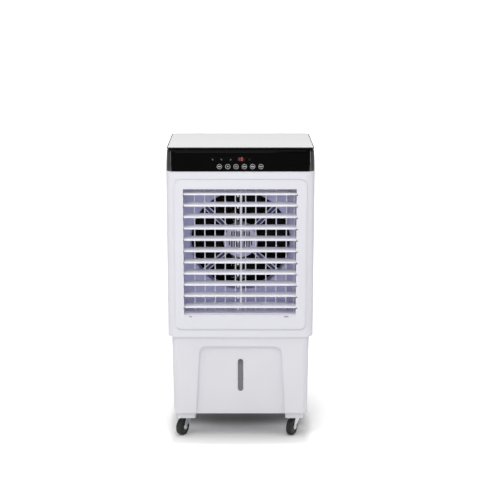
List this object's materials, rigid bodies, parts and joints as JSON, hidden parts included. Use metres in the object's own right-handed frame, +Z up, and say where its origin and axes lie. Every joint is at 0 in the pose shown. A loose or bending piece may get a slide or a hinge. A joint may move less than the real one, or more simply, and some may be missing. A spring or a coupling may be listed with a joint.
{
  "type": "portable evaporative cooler",
  "caption": "Portable evaporative room cooler on swivel casters, with tilting louvers, swinging vanes, hinged lid and water tank.",
  "frame": {"origin": "on the floor, under the middle of the cooler", "axes": "+Z up, the air outlet and the controls face -Y, +X is to the right seen from the front"},
  "size_m": [0.457, 0.3408, 0.9403],
  "materials": {
    "white_plastic": "satin",
    "tank_plastic": "satin",
    "grey_plastic": "matte",
    "gloss_black": "high gloss",
    "smoked_window": "gloss",
    "black_plastic": "matte",
    "zinc_steel": "zinc plated",
    "motor_steel": "satin",
    "black_rubber": "matte",
    "pad_paper": "matte",
    "board_green": "satin",
    "key_black": "satin",
    "hose_plastic": "satin"
  },
  "bodies": {
    "cabinet": {"water_tank": "tank_plastic", "level_window": "smoked_window", "front_panel": "white_plastic", "housing_shell": "white_plastic", "swing_motor": "motor_steel", "fan_shroud": "grey_plastic", "motor_guard": "white_plastic", "fan_motor": "motor_steel", "control_head": "gloss_black", "control_fascia": "gloss_black", "display_window": "smoked_window", "control_board": "board_green", "ice_tray": "tank_plastic", "water_distributor": "tank_plastic", "water_pump": "black_plastic", "water_hose": "hose_plastic", "power_cord": "black_rubber"},
    "fan": {"fan": "black_plastic"},
    "louver_link": {"louver_link": "white_plastic"},
    "vane_link": {"vane_link": "white_plastic"},
    "swing_crank": {"swing_crank": "white_plastic"},
    "top_lid": {"top_lid": "white_plastic"},
    "rear_grille": {"rear_grille": "white_plastic", "cooling_pad": "pad_paper"},
    "drain_plug": {"drain_plug": "black_rubber"},
    "louver_01": {"louver_01": "white_plastic"},
    "louver_02": {"louver_02": "white_plastic"},
    "louver_03": {"louver_03": "white_plastic"},
    "louver_04": {"louver_04": "white_plastic"},
    "louver_05": {"louver_05": "white_plastic"},
    "louver_06": {"louver_06": "white_plastic"},
    "louver_07": {"louver_07": "white_plastic"},
    "louver_08": {"louver_08": "white_plastic"},
    "louver_09": {"louver_09": "white_plastic"},
    "louver_10": {"louver_10": "white_plastic"},
    "louver_11": {"louver_11": "white_plastic"},
    "vane_01": {"vane_01": "white_plastic"},
    "vane_02": {"vane_02": "white_plastic"},
    "vane_03": {"vane_03": "white_plastic"},
    "vane_04": {"vane_04": "white_plastic"},
    "vane_05": {"vane_05": "white_plastic"},
    "vane_06": {"vane_06": "white_plastic"},
    "vane_07": {"vane_07": "white_plastic"},
    "vane_08": {"vane_08": "white_plastic"},
    "vane_09": {"vane_09": "white_plastic"},
    "vane_10": {"vane_10": "white_plastic"},
    "button_1": {"button_1": "key_black"},
    "button_2": {"button_2": "key_black"},
    "button_3": {"button_3": "key_black"},
    "button_4": {"button_4": "key_black"},
    "button_5": {"button_5": "key_black"},
    "button_6": {"button_6": "key_black"},
    "caster_fork_front_left": {"caster_fork_front_left": "zinc_steel"},
    "caster_wheel_front_left": {"caster_wheel_front_left": "black_rubber"},
    "caster_fork_front_right": {"caster_fork_front_right": "zinc_steel"},
    "caster_wheel_front_right": {"caster_wheel_front_right": "black_rubber"},
    "caster_fork_rear_left": {"caster_fork_rear_left": "zinc_steel"},
    "caster_wheel_rear_left": {"caster_wheel_rear_left": "black_rubber"},
    "caster_fork_rear_right": {"caster_fork_rear_right": "zinc_steel"},
    "caster_wheel_rear_right": {"caster_wheel_rear_right": "black_rubber"}
  },
  "joints": [
    {"name": "fan_spin", "type": "hinge", "parent": "cabinet", "child": "fan", "pos_m": [0, 0, 0.632], "axis": [0, 1, 0], "continuous": true},
    {"name": "louver_01_tilt", "type": "hinge", "parent": "cabinet", "child": "louver_01", "pos_m": [0, -0.15, 0.797], "axis": [1, 0, 0], "range_deg": [-45, 30]},
    {"name": "louver_02_tilt", "type": "hinge", "parent": "cabinet", "child": "louver_02", "pos_m": [0, -0.15, 0.7612], "axis": [1, 0, 0], "range_deg": [-45, 30]},
    {"name": "louver_03_tilt", "type": "hinge", "parent": "cabinet", "child": "louver_03", "pos_m": [0, -0.15, 0.7254], "axis": [1, 0, 0], "range_deg": [-45, 30]},
    {"name": "louver_04_tilt", "type": "hinge", "parent": "cabinet", "child": "louver_04", "pos_m": [0, -0.15, 0.6896], "axis": [1, 0, 0], "range_deg": [-45, 30]},
    {"name": "louver_05_tilt", "type": "hinge", "parent": "cabinet", "child": "louver_05", "pos_m": [0, -0.15, 0.6538], "axis": [1, 0, 0], "range_deg": [-45, 30]},
    {"name": "louver_06_tilt", "type": "hinge", "parent": "cabinet", "child": "louver_06", "pos_m": [0, -0.15, 0.618], "axis": [1, 0, 0], "range_deg": [-45, 30]},
    {"name": "louver_07_tilt", "type": "hinge", "parent": "cabinet", "child": "louver_07", "pos_m": [0, -0.15, 0.5822], "axis": [1, 0, 0], "range_deg": [-45, 30]},
    {"name": "louver_08_tilt", "type": "hinge", "parent": "cabinet", "child": "louver_08", "pos_m": [0, -0.15, 0.5464], "axis": [1, 0, 0], "range_deg": [-45, 30]},
    {"name": "louver_09_tilt", "type": "hinge", "parent": "cabinet", "child": "louver_09", "pos_m": [0, -0.15, 0.5106], "axis": [1, 0, 0], "range_deg": [-45, 30]},
    {"name": "louver_10_tilt", "type": "hinge", "parent": "cabinet", "child": "louver_10", "pos_m": [0, -0.15, 0.4748], "axis": [1, 0, 0], "range_deg": [-45, 30]},
    {"name": "louver_11_tilt", "type": "hinge", "parent": "cabinet", "child": "louver_11", "pos_m": [0, -0.15, 0.439], "axis": [1, 0, 0], "range_deg": [-45, 30]},
    {"name": "louver_link_pivot", "type": "hinge", "parent": "louver_06", "child": "louver_link", "pos_m": [0.0015, -0.13409, 0.61967], "axis": [1, 0, 0], "range_deg": [-30, 45]},
    {"name": "vane_01_swing", "type": "hinge", "parent": "cabinet", "child": "vane_01", "pos_m": [-0.1431, -0.104, 0.613], "axis": [0, 0, 1], "range_deg": [-40, 40]},
    {"name": "vane_02_swing", "type": "hinge", "parent": "cabinet", "child": "vane_02", "pos_m": [-0.1113, -0.104, 0.613], "axis": [0, 0, 1], "range_deg": [-40, 40]},
    {"name": "vane_03_swing", "type": "hinge", "parent": "cabinet", "child": "vane_03", "pos_m": [-0.0795, -0.104, 0.613], "axis": [0, 0, 1], "range_deg": [-40, 40]},
    {"name": "vane_04_swing", "type": "hinge", "parent": "cabinet", "child": "vane_04", "pos_m": [-0.0477, -0.104, 0.613], "axis": [0, 0, 1], "range_deg": [-40, 40]},
    {"name": "vane_05_swing", "type": "hinge", "parent": "cabinet", "child": "vane_05", "pos_m": [-0.0159, -0.104, 0.613], "axis": [0, 0, 1], "range_deg": [-40, 40]},
    {"name": "vane_06_swing", "type": "hinge", "parent": "cabinet", "child": "vane_06", "pos_m": [0.0159, -0.104, 0.613], "axis": [0, 0, 1], "range_deg": [-40, 40]},
    {"name": "vane_07_swing", "type": "hinge", "parent": "cabinet", "child": "vane_07", "pos_m": [0.0477, -0.104, 0.613], "axis": [0, 0, 1], "range_deg": [-40, 40]},
    {"name": "vane_08_swing", "type": "hinge", "parent": "cabinet", "child": "vane_08", "pos_m": [0.0795, -0.104, 0.613], "axis": [0, 0, 1], "range_deg": [-40, 40]},
    {"name": "vane_09_swing", "type": "hinge", "parent": "cabinet", "child": "vane_09", "pos_m": [0.1113, -0.104, 0.613], "axis": [0, 0, 1], "range_deg": [-40, 40]},
    {"name": "vane_10_swing", "type": "hinge", "parent": "cabinet", "child": "vane_10", "pos_m": [0.1431, -0.104, 0.613], "axis": [0, 0, 1], "range_deg": [-40, 40]},
    {"name": "vane_link_pivot", "type": "hinge", "parent": "vane_05", "child": "vane_link", "pos_m": [-0.0159, -0.093, 0.433], "axis": [0, 0, 1], "range_deg": [-40, 40]},
    {"name": "swing_crank_turn", "type": "hinge", "parent": "cabinet", "child": "swing_crank", "pos_m": [0, -0.104, 0.418], "axis": [0, 0, 1], "range_deg": [-40, 40]},
    {"name": "lid_hinge", "type": "hinge", "parent": "cabinet", "child": "top_lid", "pos_m": [0, 0.1665, 0.9378], "axis": [-1, 0, 0], "range_deg": [0, 85]},
    {"name": "grille_slide", "type": "slide", "parent": "cabinet", "child": "rear_grille", "axis": [0, 1, 0], "range_m": [0, 0.08]},
    {"name": "drain_plug_slide", "type": "slide", "parent": "cabinet", "child": "drain_plug", "axis": [0, 1, 0], "range_m": [0, 0.025]},
    {"name": "swivel_front_left", "type": "hinge", "parent": "cabinet", "child": "caster_fork_front_left", "pos_m": [-0.1755, -0.096, 0.067], "axis": [0, 0, 1], "continuous": true},
    {"name": "wheel_roll_front_left", "type": "hinge", "parent": "caster_fork_front_left", "child": "caster_wheel_front_left", "pos_m": [-0.1865, -0.11505, 0.027], "axis": [0.866, -0.5, 0], "continuous": true},
    {"name": "swivel_front_right", "type": "hinge", "parent": "cabinet", "child": "caster_fork_front_right", "pos_m": [0.1755, -0.096, 0.067], "axis": [0, 0, 1], "continuous": true},
    {"name": "wheel_roll_front_right", "type": "hinge", "parent": "caster_fork_front_right", "child": "caster_wheel_front_right", "pos_m": [0.16551, -0.1156, 0.027], "axis": [0.891, -0.454, 0], "continuous": true},
    {"name": "swivel_rear_left", "type": "hinge", "parent": "cabinet", "child": "caster_fork_rear_left", "pos_m": [-0.1755, 0.101, 0.067], "axis": [0, 0, 1], "continuous": true},
    {"name": "wheel_roll_rear_left", "type": "hinge", "parent": "caster_fork_rear_left", "child": "caster_wheel_rear_left", "pos_m": [-0.18904, 0.08366, 0.027], "axis": [0.788, -0.6157, 0], "continuous": true},
    {"name": "swivel_rear_right", "type": "hinge", "parent": "cabinet", "child": "caster_fork_rear_right", "pos_m": [0.1755, 0.101, 0.067], "axis": [0, 0, 1], "continuous": true},
    {"name": "wheel_roll_rear_right", "type": "hinge", "parent": "caster_fork_rear_right", "child": "caster_wheel_rear_right", "pos_m": [0.16655, 0.0809, 0.027], "axis": [0.9135, -0.4067, 0], "continuous": true},
    {"name": "button_1_press", "type": "slide", "parent": "cabinet", "child": "button_1", "axis": [0, 1, 0], "range_m": [0, 0.001], "stiffness_N_per_m": 800, "springref_m": -0.0005},
    {"name": "button_2_press", "type": "slide", "parent": "cabinet", "child": "button_2", "axis": [0, 1, 0], "range_m": [0, 0.001], "stiffness_N_per_m": 800, "springref_m": -0.0005},
    {"name": "button_3_press", "type": "slide", "parent": "cabinet", "child": "button_3", "axis": [0, 1, 0], "range_m": [0, 0.001], "stiffness_N_per_m": 800, "springref_m": -0.0005},
    {"name": "button_4_press", "type": "slide", "parent": "cabinet", "child": "button_4", "axis": [0, 1, 0], "range_m": [0, 0.001], "stiffness_N_per_m": 800, "springref_m": -0.0005},
    {"name": "button_5_press", "type": "slide", "parent": "cabinet", "child": "button_5", "axis": [0, 1, 0], "range_m": [0, 0.001], "stiffness_N_per_m": 800, "springref_m": -0.0005},
    {"name": "button_6_press", "type": "slide", "parent": "cabinet", "child": "button_6", "axis": [0, 1, 0], "range_m": [0, 0.001], "stiffness_N_per_m": 800, "springref_m": -0.0005}
  ],
  "couplings": [
    {"joint": "louver_01_tilt", "follows": "louver_06_tilt", "ratio": 1},
    {"joint": "louver_02_tilt", "follows": "louver_06_tilt", "ratio": 1},
    {"joint": "louver_03_tilt", "follows": "louver_06_tilt", "ratio": 1},
    {"joint": "louver_04_tilt", "follows": "louver_06_tilt", "ratio": 1},
    {"joint": "louver_05_tilt", "follows": "louver_06_tilt", "ratio": 1},
    {"joint": "louver_07_tilt", "follows": "louver_06_tilt", "ratio": 1},
    {"joint": "louver_08_tilt", "follows": "louver_06_tilt", "ratio": 1},
    {"joint": "louver_09_tilt", "follows": "louver_06_tilt", "ratio": 1},
    {"joint": "louver_10_tilt", "follows": "louver_06_tilt", "ratio": 1},
    {"joint": "louver_11_tilt", "follows": "louver_06_tilt", "ratio": 1},
    {"joint": "louver_link_pivot", "follows": "louver_06_tilt", "ratio": -1},
    {"joint": "vane_01_swing", "follows": "vane_05_swing", "ratio": 1},
    {"joint": "vane_02_swing", "follows": "vane_05_swing", "ratio": 1},
    {"joint": "vane_03_swing", "follows": "vane_05_swing", "ratio": 1},
    {"joint": "vane_04_swing", "follows": "vane_05_swing", "ratio": 1},
    {"joint": "vane_06_swing", "follows": "vane_05_swing", "ratio": 1},
    {"joint": "vane_07_swing", "follows": "vane_05_swing", "ratio": 1},
    {"joint": "vane_08_swing", "follows": "vane_05_swing", "ratio": 1},
    {"joint": "vane_09_swing", "follows": "vane_05_swing", "ratio": 1},
    {"joint": "vane_10_swing", "follows": "vane_05_swing", "ratio": 1},
    {"joint": "vane_link_pivot", "follows": "vane_05_swing", "ratio": -1},
    {"joint": "swing_crank_turn", "follows": "vane_05_swing", "ratio": 1}
  ]
}
